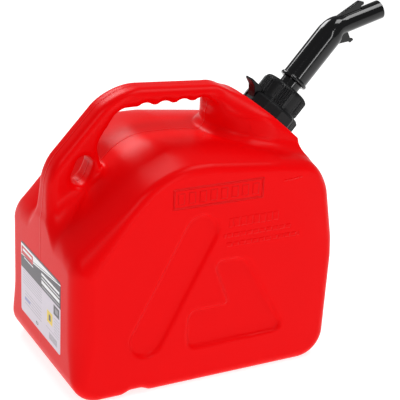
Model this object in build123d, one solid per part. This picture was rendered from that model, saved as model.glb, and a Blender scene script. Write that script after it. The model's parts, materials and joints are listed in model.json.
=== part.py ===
"""Ten-litre fuel can with a screw collar and a spring-loaded pouring spout.

Millimetres, +Z up, base on Z = 0. The can is long in X, with the spout towards +X, and lies
evenly about the Y = 0 plane. Each sub-part is built in place and saved as its own STEP file.
"""
from build123d import *
from math import atan2, cos, degrees, hypot, radians, sin
import os

# Body
BODY_LENGTH = 288.0
BODY_DEPTH = 187.0
ROOF_HEIGHT = 242.5
WALL = 2.5
PANEL_EDGE_RADIUS = 13.0
BULGE_HEIGHT = 136.0
END_LEAN = 5.0
SHOULDER_FOOT = 154.0
ROOF_START = -57.0
ROOF_FALL_AT_PANEL = 7.0
FOOT_FALL_AT_PANEL = 12.5
FLAT_ROOF_HALF_WIDTH = 60.0
BASE_GROOVE_X = -76.0
BASE_GROOVE_DEPTH = 3.7
FACET_ANGLE = 13.0
FACET_TOP = (64.0, 227.0)
FACET_FOOT = (131.0, 133.0)

# Relief on the two large panels
RECESS_DEPTH = 3.0
PLATE_DEPTH = 1.2
SLOT_FOOT = (-68.0, 60.0)
SLOT_HEAD = (-12.0, 167.0)
SLOT_RADIUS = 18.0
PLATE_CENTRE = (4.0, 205.5)
PLATE_SIZE = (98.6, 21.0)

# Carrying handle
HANDLE_TOP = 293.0
HANDLE_HALF_WIDTH = 16.0
HANDLE_EDGE_RADIUS = 6.0
OPENING_EDGE_RADIUS = 3.5
GRIP_UNDERSIDE = 273.0
FINGER_PITCH = 20.7
FINGER_RADIUS = 12.0
FINGER_DEPTH = 3.0
FIRST_FINGER_X = -38.0
FINGERS = 4
SMALL_HOLE_CENTRE = (-105.0, 214.5)
SMALL_HOLE_RADIUS = 9.5
SMALL_HOLE_LENGTH = 31.0
SMALL_HOLE_LEAN = 68.0

# Neck: lengths along the neck are heights above NECK_SEAT
NECK_SEAT = (BODY_LENGTH / 2 - 36.8, ROOF_HEIGHT + 3.0)
NECK_TILT = 41.2
DOME_TOP = -2.0
DOME_FOOT = -42.0
NECK_RADIUS = 22.0
NECK_BORE_RADIUS = NECK_RADIUS - 3.5
DOME_RADIUS = NECK_RADIUS + 13.0
DOME_FOOT_RADIUS = DOME_RADIUS + 9.0
NECK_LIP = 18.0

# Thread, the same for the neck and the collar
THREAD_PITCH = 5.0
THREAD_HEIGHT = 1.4
THREAD_ROOT_WIDTH = 2.4
THREAD_CREST_WIDTH = 1.2
NECK_THREAD_START = 3.0
NECK_THREAD_TURNS = 2.0
COLLAR_THREAD_TURNS = 1.5

# Clearances
PART_GAP = 0.3
THREAD_GAP = 0.4
SLIDING_GAP = 0.05

# Collar and lock ring
COLLAR_RADIUS = NECK_RADIUS + 4.0
COLLAR_FOOT = -1.5
COLLAR_TOP = 37.0
COLLAR_TOP_THICKNESS = 3.0
COLLAR_TOP_FILLET = 5.0
SHOULDER_WIDTH = 4.8
RIB_GROUPS = 6
RIBS_PER_GROUP = 5
RIB_SPACING = 5.5
RIB_SIZE = (1.4, 1.0)
RIB_BAND = (16.0, 31.0)
RATCHET_TEETH = 24
RATCHET_BAND = (2.0, 9.0)
LOCK_RING_RADIUS = COLLAR_RADIUS + 5.5
LOCK_RING_TOP = 13.0
LOCK_RING_SIDES = 12
LOCK_RING_GAP = 1.4
TAB_WIDTH = 13.0
TAB_THICKNESS = 3.2

# Spout base
GASKET_THICKNESS = 2.0
FLANGE_THICKNESS = 3.5
INNER_TUBE_RADIUS = 11.25
INNER_TUBE_WALL = 2.0
INNER_TUBE_TOP = 60.0
STOP_RING_HEIGHT = 2.0
STOP_RING_RAISE = 0.6
O_RING_SECTION = 0.9
O_RING_HEIGHT = 55.0
VENT_TUBE_RADIUS = 2.5
VENT_TUBE_BORE = 1.6
VENT_TUBE_LENGTH = 55.0
VENT_TUBE_OFFSET = INNER_TUBE_RADIUS + 3.75
VENT_SOCKET_DEPTH = 2.0

# Valve, carried by the sleeve
SEAT_HEIGHT = 28.0
SEAT_THICKNESS = 2.0
SEAT_HOLE_RADIUS = 6.5
PLUG_RADIUS = 8.3
PLUG_THICKNESS = 3.0
PLUG_O_RING_SECTION = 0.8
STEM_RADIUS = 1.6
SPIDER_HEIGHT = 68.0
SPIDER_THICKNESS = 2.5
SPIDER_HUB_RADIUS = 8.8
SPIDER_ARM_WIDTH = 2.4
SPRING_RADIUS = 7.7
SPRING_WIRE_RADIUS = 0.6
SPRING_TURNS = 9

# Pouring sleeve
SLEEVE_RADIUS = INNER_TUBE_RADIUS + 2.55
SLEEVE_FOOT = 44.5
SLEEVE_LIP_HEIGHT = 3.0
BEAD_RADIUS = SLEEVE_RADIUS + 1.55
BEAD_HEIGHT = 3.5
BEND_HEIGHT = 116.8
NOSE_RISE = 16.0
NOSE_RADIUS = 10.0
NOSE_BORE_RADIUS = 8.2
NOSE_LENGTH = 58.0
NOSE_TAPER_LENGTH = 22.0
FIN_THICKNESS = 4.0

# Label
LABEL_HALF_WIDTH = 55.5
LABEL_FOOT = 40.0
LABEL_TOP = 119.5
LABEL_THICKNESS = 0.2
LABEL_CORNER = 3.0

NECK = Plane(
    origin=(NECK_SEAT[0], 0, NECK_SEAT[1]),
    x_dir=(cos(radians(NECK_TILT)), 0, -sin(radians(NECK_TILT))),
    z_dir=(sin(radians(NECK_TILT)), 0, cos(radians(NECK_TILT))),
)
BEND_ANGLE = 90 - NECK_TILT - NOSE_RISE
NOSE = Plane(
    origin=(0, 0, BEND_HEIGHT),
    x_dir=(cos(radians(BEND_ANGLE)), 0, -sin(radians(BEND_ANGLE))),
    z_dir=(sin(radians(BEND_ANGLE)), 0, cos(radians(BEND_ANGLE))),
)
ON_BASE = (Align.CENTER, Align.CENTER, Align.MIN)
GASKET_FOOT = NECK_LIP + PART_GAP
FLANGE_FOOT = GASKET_FOOT + GASKET_THICKNESS
FLANGE_TOP = FLANGE_FOOT + FLANGE_THICKNESS
FLANGE_RADIUS = NECK_RADIUS + THREAD_HEIGHT - PART_GAP
COLLAR_BORE_RADIUS = NECK_RADIUS + THREAD_HEIGHT + THREAD_GAP
INNER_BORE_RADIUS = INNER_TUBE_RADIUS - INNER_TUBE_WALL
SLEEVE_BORE_RADIUS = INNER_TUBE_RADIUS + STOP_RING_RAISE + PART_GAP
LOCK_RING_BORE_RADIUS = COLLAR_RADIUS + LOCK_RING_GAP
O_RING_CENTRE_RADIUS = SLEEVE_BORE_RADIUS - SLIDING_GAP - O_RING_SECTION
PLUG_TOP = SEAT_HEIGHT - PART_GAP - 2 * PLUG_O_RING_SECTION


def rod(radius, low, high):
    """A round bar on the Z axis between two heights."""
    return Pos(0, 0, low) * Cylinder(radius, high - low, align=ON_BASE)


def tube(outer, inner, low, high):
    """A round tube on the Z axis between two heights."""
    return rod(outer, low, high) - rod(inner, low - 1, high + 1)


def cone(low_radius, high_radius, low, high):
    """A round taper on the Z axis between two heights."""
    return Pos(0, 0, low) * Cone(low_radius, high_radius, high - low, align=ON_BASE)


def hoop(radius, section, height):
    """A ring of round section about the Z axis."""
    return Pos(0, 0, height) * Torus(radius, section)


def upright_plate(points, thickness):
    """A flat plate in the XZ plane, lying evenly about Y = 0."""
    return extrude(Plane.XZ * make_face(Polyline(*points, close=True)), amount=thickness / 2, both=True)


def outline_face(points, radii):
    """A flat XZ face whose corners are rounded one by one."""
    return Plane.XZ * make_face(FilletPolyline(*points, radius=radii, close=True))


def grown(face, amount):
    """The face with its outline moved outwards, or inwards when the amount is negative."""
    return offset(face, amount=amount) if amount else face


def body_outline(edge_share, inset):
    """The side outline; edge_share is 0 on the flat roof and 1 at the large panels."""
    left = -BODY_LENGTH / 2
    right = BODY_LENGTH / 2
    roof = ROOF_HEIGHT - edge_share * ROOF_FALL_AT_PANEL
    foot = SHOULDER_FOOT - edge_share * FOOT_FALL_AT_PANEL
    corners = [
        ((left, 0), 28),
        ((BASE_GROOVE_X - 18, 0), 6),
        ((BASE_GROOVE_X - 8, BASE_GROOVE_DEPTH), 6),
        ((BASE_GROOVE_X + 8, BASE_GROOVE_DEPTH), 6),
        ((BASE_GROOVE_X + 18, 0), 6),
        ((right - END_LEAN, 0), 36),
        ((right, BULGE_HEIGHT), 90),
        ((right - 8, roof - 27), 16),
        ((right - 44, roof - 9), 40),
        ((right - 84, roof - 2), 60),
        ((ROOF_START, roof), 45),
        ((left, foot), 20),
    ]
    face = outline_face([point for point, _ in corners], [radius for _, radius in corners])
    return grown(face, -inset)


def facet_cutter(inset):
    """The block taken off the -Y panel's upper corner, leaving a shallow facet."""
    run = FACET_FOOT[0] - FACET_TOP[0]
    fall = FACET_TOP[1] - FACET_FOOT[1]
    length = hypot(run, fall)
    tilt = sin(radians(FACET_ANGLE))
    normal = Vector(tilt * fall / length, -cos(radians(FACET_ANGLE)), tilt * run / length)
    start = Vector(FACET_TOP[0], -BODY_DEPTH / 2, FACET_TOP[1]) - normal * inset
    return Plane(origin=start, z_dir=normal) * Box(4 * length, 4 * length, 60, align=ON_BASE)


def panel_recesses():
    """The outlines pressed into each large panel, each with its depth."""
    run = SLOT_HEAD[0] - SLOT_FOOT[0]
    rise = SLOT_HEAD[1] - SLOT_FOOT[1]
    middle = ((SLOT_HEAD[0] + SLOT_FOOT[0]) / 2, (SLOT_HEAD[1] + SLOT_FOOT[1]) / 2)
    lean = degrees(atan2(rise, run))
    slot = Pos(*middle) * Rot(0, 0, lean) * SlotCenterToCenter(hypot(run, rise), 2 * SLOT_RADIUS)
    plate = Pos(*PLATE_CENTRE) * RectangleRounded(*PLATE_SIZE, 3)
    corners = [
        ((3, 133), 12),
        ((39.5, 133), 12),
        ((88, 43.5), 20),
        ((-23, 40.5), 16),
        ((-23, 83.5), 14),
        ((24, 82.5), 5),
    ]
    hook = outline_face([point for point, _ in corners], [radius for _, radius in corners])
    return [
        (Plane.XZ * slot, RECESS_DEPTH),
        (hook, RECESS_DEPTH),
        (Plane.XZ * plate, PLATE_DEPTH),
    ]


def panel_form(inset):
    """The filled body form, moved inwards by inset, with its panel relief."""
    half_depth = BODY_DEPTH / 2
    middle = body_outline(0, inset)
    panel = body_outline(1, inset)
    roof_half = FLAT_ROOF_HALF_WIDTH - inset / 2
    core = extrude(middle, amount=roof_half, both=True)
    flank = loft([Pos(0, -roof_half, 0) * middle, Pos(0, inset - half_depth, 0) * panel], ruled=True)
    panel_face = flank.faces().sort_by(Axis.Y)[0]
    flank = fillet(panel_face.edges(), PANEL_EDGE_RADIUS - inset)
    flank -= facet_cutter(inset)
    for outline, depth in panel_recesses():
        floor = Pos(0, depth + inset - half_depth, 0) * grown(outline, inset)
        flank -= extrude(floor, amount=2 * depth + inset)
    return core + flank + mirror(flank, about=Plane.XZ)


def handle_outline(inset):
    """The handle's side outline with its two openings, moved inwards by inset."""
    left = -BODY_LENGTH / 2
    corners = [
        ((left + 40, 100), 10),
        ((left + 1, 120), 10),
        ((left + 1, 214), 45),
        ((-72, HANDLE_TOP), 62),
        ((43.6, HANDLE_TOP - 5), 40),
        ((105, 249), 5),
        ((95, 190), 10),
        ((-40, 190), 10),
    ]
    outer = outline_face([point for point, _ in corners], [radius for _, radius in corners])
    return grown(outer, -inset) - hand_opening(inset) - small_hole(inset)


def hand_opening(inset):
    """The hand opening with its finger grooves, moved outwards by inset."""
    corners = [
        ((-82, 205), 3),
        ((-90, 240), 16),
        ((-67, GRIP_UNDERSIDE), 16),
        ((34, GRIP_UNDERSIDE + 1), 7),
        ((24, 250), 12),
        ((14, 232), 3),
        ((-55, 228), 20),
    ]
    opening = outline_face([point for point, _ in corners], [radius for _, radius in corners])
    opening = grown(opening, inset)
    centre_height = GRIP_UNDERSIDE + FINGER_DEPTH - FINGER_RADIUS
    for finger in range(FINGERS):
        centre = (FIRST_FINGER_X + finger * FINGER_PITCH, 0, centre_height)
        opening += Pos(*centre) * (Plane.XZ * Circle(FINGER_RADIUS + inset))
    return opening


def small_hole(inset):
    """The small hole behind the handle, moved outwards by inset."""
    straight = SMALL_HOLE_LENGTH - 2 * SMALL_HOLE_RADIUS
    slot = SlotCenterToCenter(straight, 2 * (SMALL_HOLE_RADIUS + inset), rotation=SMALL_HOLE_LEAN)
    return Plane.XZ * (Pos(*SMALL_HOLE_CENTRE) * slot)


def handle_sides(bar, half_width):
    """The handle's two flat side faces."""
    return bar.faces().filter_by(lambda face: abs(abs(face.center().Y) - half_width) < 0.01)


def handle_form(inset):
    """The filled handle, moved inwards by inset, with rounded rims."""
    half_width = HANDLE_HALF_WIDTH - inset
    bar = extrude(handle_outline(inset), amount=half_width, both=True)
    rim = [edge for face in handle_sides(bar, half_width) for edge in face.outer_wire().edges()]
    bar = fillet(rim, HANDLE_EDGE_RADIUS - inset)
    openings = [wire for face in handle_sides(bar, half_width) for wire in face.inner_wires()]
    rim = [edge for wire in openings for edge in wire.edges()]
    return fillet(rim, OPENING_EDGE_RADIUS - inset)


def dome_form(inset):
    """The filled dome that carries the neck, moved inwards by inset."""
    return NECK * cone(DOME_FOOT_RADIUS - inset, DOME_RADIUS - inset, DOME_FOOT, DOME_TOP - inset)


def thread(root_radius, outward, start, turns):
    """A right-hand thread ridge on a round wall, pointing outwards or inwards."""
    reach = THREAD_HEIGHT if outward else -THREAD_HEIGHT
    sunk = -0.3 if outward else 0.3
    half_root = THREAD_ROOT_WIDTH / 2
    half_crest = THREAD_CREST_WIDTH / 2
    profile = Plane.XZ * make_face(
        Polyline(
            (root_radius + sunk, -half_root),
            (root_radius + reach, -half_crest),
            (root_radius + reach, half_crest),
            (root_radius + sunk, half_root),
            close=True,
        )
    )
    path = Helix(THREAD_PITCH, THREAD_PITCH * turns, root_radius)
    return Pos(0, 0, start) * sweep(profile, path=path, is_frenet=True)


def make_tank_shell():
    """The hollow body, handle, dome and threaded neck in one wall."""
    neck = rod(NECK_RADIUS, DOME_TOP - 1, NECK_LIP)
    neck += thread(NECK_RADIUS, True, NECK_THREAD_START, NECK_THREAD_TURNS)
    bore = rod(NECK_BORE_RADIUS, DOME_TOP - 2 * WALL, NECK_LIP + 1)
    outside = panel_form(0) + handle_form(0) + dome_form(0) + NECK * neck
    inside = panel_form(WALL) + handle_form(WALL) + dome_form(WALL) + NECK * bore
    return outside - inside


def make_side_label():
    """The label stuck on the -X end."""
    sheet = RectangleRounded(2 * LABEL_HALF_WIDTH, LABEL_TOP - LABEL_FOOT, LABEL_CORNER)
    middle = (-BODY_LENGTH / 2, 0, (LABEL_TOP + LABEL_FOOT) / 2)
    return extrude(Plane(middle, x_dir=(0, -1, 0), z_dir=(-1, 0, 0)) * sheet, amount=LABEL_THICKNESS)


def make_lock_ring():
    """The fixed ring around the collar's foot, with a window for the lock tab."""
    side = RegularPolygon(LOCK_RING_RADIUS, LOCK_RING_SIDES, major_radius=False)
    ring = Pos(0, 0, DOME_TOP) * extrude(side, amount=LOCK_RING_TOP - DOME_TOP)
    ring -= rod(LOCK_RING_BORE_RADIUS, DOME_TOP - 1, LOCK_RING_TOP + 1)
    return ring - Pos(-LOCK_RING_RADIUS, 0, 0) * Box(20, TAB_WIDTH + 2 * PART_GAP, 40)


def make_lock_tab():
    """The thumb tab that stands in the lock ring's window and flexes outwards."""
    inner = -LOCK_RING_BORE_RADIUS
    outer = inner - TAB_THICKNESS
    foot = DOME_TOP + 1
    points = [
        (inner, foot),
        (inner, 18),
        (inner - 5, 16.5),
        (inner - 18.6, 17),
        (inner - 15.6, 14.5),
        (inner - 9.6, 12.5),
        (outer - 1.5, 10),
        (outer, 6),
        (outer, foot),
    ]
    return upright_plate(points, TAB_WIDTH)


def collar_ribs():
    """Groups of fine upright grip ribs around the collar."""
    width, height = RIB_SIZE
    rib = Pos(COLLAR_RADIUS, 0, RIB_BAND[0]) * Box(2 * height, width, RIB_BAND[1] - RIB_BAND[0], align=ON_BASE)
    first = -RIB_SPACING * (RIBS_PER_GROUP - 1) / 2
    turns = [
        group * 360 / RIB_GROUPS + first + rib_number * RIB_SPACING
        for group in range(RIB_GROUPS)
        for rib_number in range(RIBS_PER_GROUP)
    ]
    return [Rot(0, 0, turn) * rib for turn in turns]


def ratchet_teeth():
    """Small upright teeth around the collar's foot, behind the lock ring."""
    low, high = RATCHET_BAND
    size = LOCK_RING_GAP - PART_GAP - 0.2
    tooth = Pos(COLLAR_RADIUS, 0, low) * Box(2 * size, 2.4, high - low, align=ON_BASE)
    return [Rot(0, 0, tooth_number * 360 / RATCHET_TEETH) * tooth for tooth_number in range(RATCHET_TEETH)]


def make_screw_collar():
    """The screw collar: a threaded skirt, ratchet teeth, grip ribs and a holed top."""
    cap = rod(COLLAR_RADIUS, COLLAR_FOOT, COLLAR_TOP)
    cap = fillet(cap.faces().sort_by(Axis.Z)[-1].edges(), COLLAR_TOP_FILLET)
    cap += collar_ribs() + ratchet_teeth()
    shoulder = FLANGE_TOP + PART_GAP
    cap -= rod(COLLAR_BORE_RADIUS, COLLAR_FOOT - 1, shoulder)
    cap -= rod(COLLAR_BORE_RADIUS - SHOULDER_WIDTH, shoulder - 1, COLLAR_TOP - COLLAR_TOP_THICKNESS)
    cap -= rod(INNER_TUBE_RADIUS + 1, shoulder, COLLAR_TOP + 1)
    start = NECK_THREAD_START - THREAD_PITCH / 2
    return cap + thread(COLLAR_BORE_RADIUS, False, start, COLLAR_THREAD_TURNS)


def make_neck_gasket():
    """The flat washer between the neck's lip and the spout's flange."""
    return tube(NECK_RADIUS, NECK_BORE_RADIUS, GASKET_FOOT, FLANGE_FOOT)


def make_spout_base():
    """The flange and the fixed inner tube that the pouring sleeve slides on."""
    base = rod(FLANGE_RADIUS, FLANGE_FOOT, FLANGE_TOP) + rod(INNER_TUBE_RADIUS, FLANGE_TOP, INNER_TUBE_TOP)
    stop = SLEEVE_FOOT + SLEEVE_LIP_HEIGHT + PART_GAP
    base += rod(INNER_TUBE_RADIUS + STOP_RING_RAISE, stop, stop + STOP_RING_HEIGHT)
    base -= rod(INNER_BORE_RADIUS, FLANGE_FOOT - 1, INNER_TUBE_TOP + 1)
    half_groove = O_RING_SECTION + 0.1
    groove_floor = O_RING_CENTRE_RADIUS - O_RING_SECTION
    base -= tube(INNER_TUBE_RADIUS + 1, groove_floor, O_RING_HEIGHT - half_groove, O_RING_HEIGHT + half_groove)
    vent = rod(VENT_TUBE_BORE, FLANGE_FOOT - 1, FLANGE_TOP + 1)
    vent += rod(VENT_TUBE_RADIUS, FLANGE_FOOT - 1, FLANGE_FOOT + VENT_SOCKET_DEPTH)
    return base - Pos(VENT_TUBE_OFFSET, 0, 0) * vent


def make_sleeve_o_ring():
    """The ring that seals the inner tube against the sleeve's bore."""
    return hoop(O_RING_CENTRE_RADIUS, O_RING_SECTION, O_RING_HEIGHT)


def make_vent_tube():
    """The thin air tube that hangs from the flange into the can."""
    top = FLANGE_FOOT + VENT_SOCKET_DEPTH
    return Pos(VENT_TUBE_OFFSET, 0, 0) * tube(VENT_TUBE_RADIUS, VENT_TUBE_BORE, top - VENT_TUBE_LENGTH, top)


def make_valve_seat():
    """The ring in the inner tube that the valve plug closes from below."""
    return tube(INNER_BORE_RADIUS, SEAT_HOLE_RADIUS, SEAT_HEIGHT, SEAT_HEIGHT + SEAT_THICKNESS)


def make_valve_plug():
    """The round plug below the seat."""
    return rod(PLUG_RADIUS, PLUG_TOP - PLUG_THICKNESS, PLUG_TOP)


def make_plug_o_ring():
    """The ring on the plug that meets the seat."""
    return hoop(PLUG_RADIUS - PLUG_O_RING_SECTION - 0.1, PLUG_O_RING_SECTION, PLUG_TOP + PLUG_O_RING_SECTION)


def make_valve_stem():
    """The rod that joins the plug to the sleeve's spider."""
    return rod(STEM_RADIUS, PLUG_TOP, SPIDER_HEIGHT + SPIDER_THICKNESS)


def make_stem_spider():
    """The three-armed carrier fixed in the sleeve, which holds the stem and the spring."""
    top = SPIDER_HEIGHT + SPIDER_THICKNESS
    spider = rod(SPIDER_HUB_RADIUS, SPIDER_HEIGHT, top)
    arm_size = (SLEEVE_BORE_RADIUS + 1, SPIDER_ARM_WIDTH, SPIDER_THICKNESS)
    arm = Pos(0, 0, SPIDER_HEIGHT) * Box(*arm_size, align=(Align.MIN, Align.CENTER, Align.MIN))
    spider += [Rot(0, 0, 120 * arm_number) * arm for arm_number in range(3)]
    return (spider & rod(SLEEVE_BORE_RADIUS, SPIDER_HEIGHT, top)) - rod(STEM_RADIUS, SPIDER_HEIGHT - 1, top + 1)


def make_return_spring():
    """The wire coil between the valve seat and the spider."""
    low = SEAT_HEIGHT + SEAT_THICKNESS + SPRING_WIRE_RADIUS + 0.1
    high = SPIDER_HEIGHT - SPRING_WIRE_RADIUS - 0.1
    path = Pos(0, 0, low) * Helix((high - low) / SPRING_TURNS, high - low, SPRING_RADIUS)
    wire = Plane(origin=path @ 0, z_dir=path % 0) * Circle(SPRING_WIRE_RADIUS)
    return sweep(wire, path=path, is_frenet=True)


def sleeve_tube(main_radius, bend_radius, nose_radius, foot, nose_length):
    """A solid bar that follows the sleeve: straight, round the bend and out along the nose."""
    bar = rod(main_radius, foot, BEND_HEIGHT - 0.5 * main_radius)
    bar += cone(main_radius, bend_radius, BEND_HEIGHT - 0.5 * main_radius, BEND_HEIGHT)
    bar += Pos(0, 0, BEND_HEIGHT) * Sphere(bend_radius)
    nose = cone(bend_radius - 0.4, nose_radius, 0, NOSE_TAPER_LENGTH)
    nose += rod(nose_radius, NOSE_TAPER_LENGTH, nose_length)
    return bar + NOSE * nose


def make_pour_sleeve():
    """The bent sliding sleeve with its foot bead, hook fin and finger tab."""
    outside = sleeve_tube(SLEEVE_RADIUS, SLEEVE_RADIUS - 0.4, NOSE_RADIUS, SLEEVE_FOOT, NOSE_LENGTH)
    bead = rod(BEAD_RADIUS, SLEEVE_FOOT, SLEEVE_FOOT + BEAD_HEIGHT)
    outside += fillet(bead.edges().filter_by(GeomType.CIRCLE), 1.2)
    fin = [(-12, 100), (-13.2, 108), (-7, 126), (3.5, 156.6), (9, 159.4), (11.3, 151), (18, 152), (10, 118)]
    outside += upright_plate(fin, FIN_THICKNESS)
    tab = [(10, 110), (18, 108.2), (26.5, 118), (27.4, 121.7), (23.1, 120.8), (16.5, 122.4), (12, 128)]
    outside += upright_plate(tab, FIN_THICKNESS)
    bore_foot = SLEEVE_FOOT + SLEEVE_LIP_HEIGHT
    wall = SLEEVE_RADIUS - SLEEVE_BORE_RADIUS
    bore = sleeve_tube(SLEEVE_BORE_RADIUS, SLEEVE_RADIUS - 0.4 - wall, NOSE_BORE_RADIUS, bore_foot, NOSE_LENGTH + 1)
    return outside - bore - rod(INNER_TUBE_RADIUS + SLIDING_GAP, SLEEVE_FOOT - 1, bore_foot + 1)


ON_NECK = {
    "lock_ring": make_lock_ring,
    "lock_tab": make_lock_tab,
    "screw_collar": make_screw_collar,
    "neck_gasket": make_neck_gasket,
    "spout_base": make_spout_base,
    "sleeve_o_ring": make_sleeve_o_ring,
    "vent_tube": make_vent_tube,
    "valve_seat": make_valve_seat,
    "valve_plug": make_valve_plug,
    "plug_o_ring": make_plug_o_ring,
    "valve_stem": make_valve_stem,
    "stem_spider": make_stem_spider,
    "return_spring": make_return_spring,
    "pour_sleeve": make_pour_sleeve,
}


def main():
    """Build every sub-part and save it under its own name."""
    os.makedirs("parts", exist_ok=True)
    parts = {"tank_shell": make_tank_shell(), "side_label": make_side_label()}
    parts |= {name: NECK * make() for name, make in ON_NECK.items()}
    for name, shape in parts.items():
        export_step(shape, f"parts/{name}.step")


if __name__ == "__main__":
    main()
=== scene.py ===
"""Look of a red fuel can with a screw collar and a sprung pouring spout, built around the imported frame.

Shapes are worked out in millimetres and put into meshes in metres, in the frame's own axes: +X towards
the spout, +Z up, base on Z = 0. Shapes of the neck are worked out in the neck's own axes, where w runs
along the neck, u points away from the handle and v is the row's +Y.
"""

import json
import logging
import math
from dataclasses import dataclass, field
from enum import Enum
from typing import Callable, Sequence

import bpy
import numpy as np
from mathutils import Matrix, Vector


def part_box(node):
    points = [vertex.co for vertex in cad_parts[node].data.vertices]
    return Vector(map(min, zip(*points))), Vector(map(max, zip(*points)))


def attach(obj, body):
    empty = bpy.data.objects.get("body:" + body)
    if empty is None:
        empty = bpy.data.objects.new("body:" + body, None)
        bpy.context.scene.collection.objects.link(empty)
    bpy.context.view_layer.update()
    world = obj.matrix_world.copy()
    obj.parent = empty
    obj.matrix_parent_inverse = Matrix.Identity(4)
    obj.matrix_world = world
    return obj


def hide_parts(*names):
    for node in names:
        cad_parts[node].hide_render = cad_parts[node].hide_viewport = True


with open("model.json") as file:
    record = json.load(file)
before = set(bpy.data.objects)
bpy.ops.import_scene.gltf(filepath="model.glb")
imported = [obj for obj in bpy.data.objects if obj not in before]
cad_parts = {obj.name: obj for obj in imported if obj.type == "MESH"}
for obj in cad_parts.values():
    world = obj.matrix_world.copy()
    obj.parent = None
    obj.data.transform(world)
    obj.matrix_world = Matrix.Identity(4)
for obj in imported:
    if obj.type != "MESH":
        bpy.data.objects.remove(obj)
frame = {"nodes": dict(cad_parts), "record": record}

Array = np.ndarray
Field = Callable[[Array, Array, Array], Array]
MM = 0.001
log = logging.getLogger("fuel_can")


class Body(Enum):
    """The moving bodies that pieces ride on."""

    TANK = "tank"
    TAB = "lock_tab"
    BASE = "spout_base"
    COLLAR = "screw_collar"
    SLEEVE = "pour_sleeve"


# ---------------------------------------------------------------- shape fields

def rise(value: Array, low: float, high: float) -> Array:
    """Smooth step: 0 below low, 1 above high and 3t^2 - 2t^3 between, t running from low to high.

    Args:
        value: where the step is read.
        low: where it starts.
        high: where it ends.

    Returns:
        The step, as an array like value.
    """
    share = np.clip((value - low) / (high - low), 0.0, 1.0)
    return share * share * (3.0 - 2.0 * share)


def meet(first: Array, second: Array, radius: float | Array) -> Array:
    """What lies in both fields, with the shared edge rounded.

    Away from the edge it is the larger field. Within radius of it, it is the distance to the corner
    moved in by radius, less radius, which is a round edge.

    Args:
        first: a field, negative inside.
        second: the other field.
        radius: how far in the rounding starts.

    Returns:
        The joint field.
    """
    near_first = np.maximum(first + radius, 0.0)
    near_second = np.maximum(second + radius, 0.0)
    return np.minimum(-radius, np.maximum(first, second)) + np.hypot(near_first, near_second)


def join(first: Array, second: Array, radius: float | Array) -> Array:
    """What lies in either field, with the inside corner between them filled by a round fillet.

    Args:
        first: a field, negative inside.
        second: the other field.
        radius: the fillet's radius.

    Returns:
        The joint field.
    """
    return -meet(-first, -second, radius)


def edge_line(x: Array, z: Array, point: tuple[float, float], along: tuple[float, float]) -> Array:
    """Distance to the left of a directed line in the XZ plane.

    Args:
        x: X places.
        z: Z places.
        point: a point on the line.
        along: the line's direction, of any length.

    Returns:
        The distance, positive to the left of the direction.
    """
    length = math.hypot(*along)
    return ((z - point[1]) * along[0] - (x - point[0]) * along[1]) / length


def round_drop(radius: float, turn: float) -> float:
    """The meet() radius that gives a round of a wanted radius at an edge of a given turn.

    A round of radius R cuts a corner of turn t back by R (1 / cos(t / 2) - 1), and meet() cuts every
    corner back by 1 - sqrt(1/2) of its own radius.

    Args:
        radius: the wanted radius.
        turn: the edge's turn in degrees.

    Returns:
        The radius for meet().
    """
    return radius * (1.0 / math.cos(math.radians(turn) / 2.0) - 1.0) / (1.0 - math.sqrt(0.5))


@dataclass(frozen=True)
class PanelRelief:
    """The shallow shapes pressed into each large panel."""

    depth: float = 3.6
    slope: float = 4.4
    slot_foot: tuple[float, float] = (-68.0, 60.0)
    slot_head: tuple[float, float] = (-12.0, 167.0)
    slot_radius: float = 18.0
    elbow: tuple[tuple[float, float], ...] = (
        (3, 133), (39.5, 133), (88, 43.5), (-23, 40.5), (-23, 83.5), (24, 82.5),
    )
    elbow_round: float = 11.0

    def slot(self, x: Array, z: Array) -> Array:
        """Distance to the long slot's outline: the distance to its middle line, less its radius."""
        foot = np.array(self.slot_foot)
        run = np.array(self.slot_head) - foot
        share = np.clip(((x - foot[0]) * run[0] + (z - foot[1]) * run[1]) / (run @ run), 0.0, 1.0)
        return np.hypot(x - foot[0] - share * run[0], z - foot[1] - share * run[1]) - self.slot_radius

    def elbow_shape(self, x: Array, z: Array) -> Array:
        """Distance to the bent recess: two rounded bars, each a meeting of four lines, joined."""
        corner = self.elbow
        upper = self.bar(x, z, (corner[0], corner[1], corner[2], (corner[5][0] + 14, corner[2][1])))
        lower = self.bar(x, z, (corner[4], (corner[2][0] - 22, corner[4][1]), corner[2], corner[3]))
        return join(upper, lower, 5.0)

    def bar(self, x: Array, z: Array, corners: Sequence[tuple[float, float]]) -> Array:
        """Distance to a rounded four-sided shape whose corners run clockwise.

        Args:
            x: X places.
            z: Z places.
            corners: its four corners, clockwise as seen with X to the right and Z up.

        Returns:
            The field, negative inside.
        """
        sides = []
        for start, end in zip(corners, (*corners[1:], corners[0])):
            sides.append(edge_line(x, z, start, (end[0] - start[0], end[1] - start[1])))
        return meet(meet(sides[0], sides[2], self.elbow_round), meet(sides[1], sides[3], self.elbow_round),
                    self.elbow_round)

    def sink(self, x: Array, z: Array) -> Array:
        """How far the panel's surface lies below its plane: a smooth step across the outlines."""
        half = self.slope / 2.0
        recess = np.minimum(self.slot(x, z), self.elbow_shape(x, z))
        return self.depth * (1.0 - rise(recess, -half, half))


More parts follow.
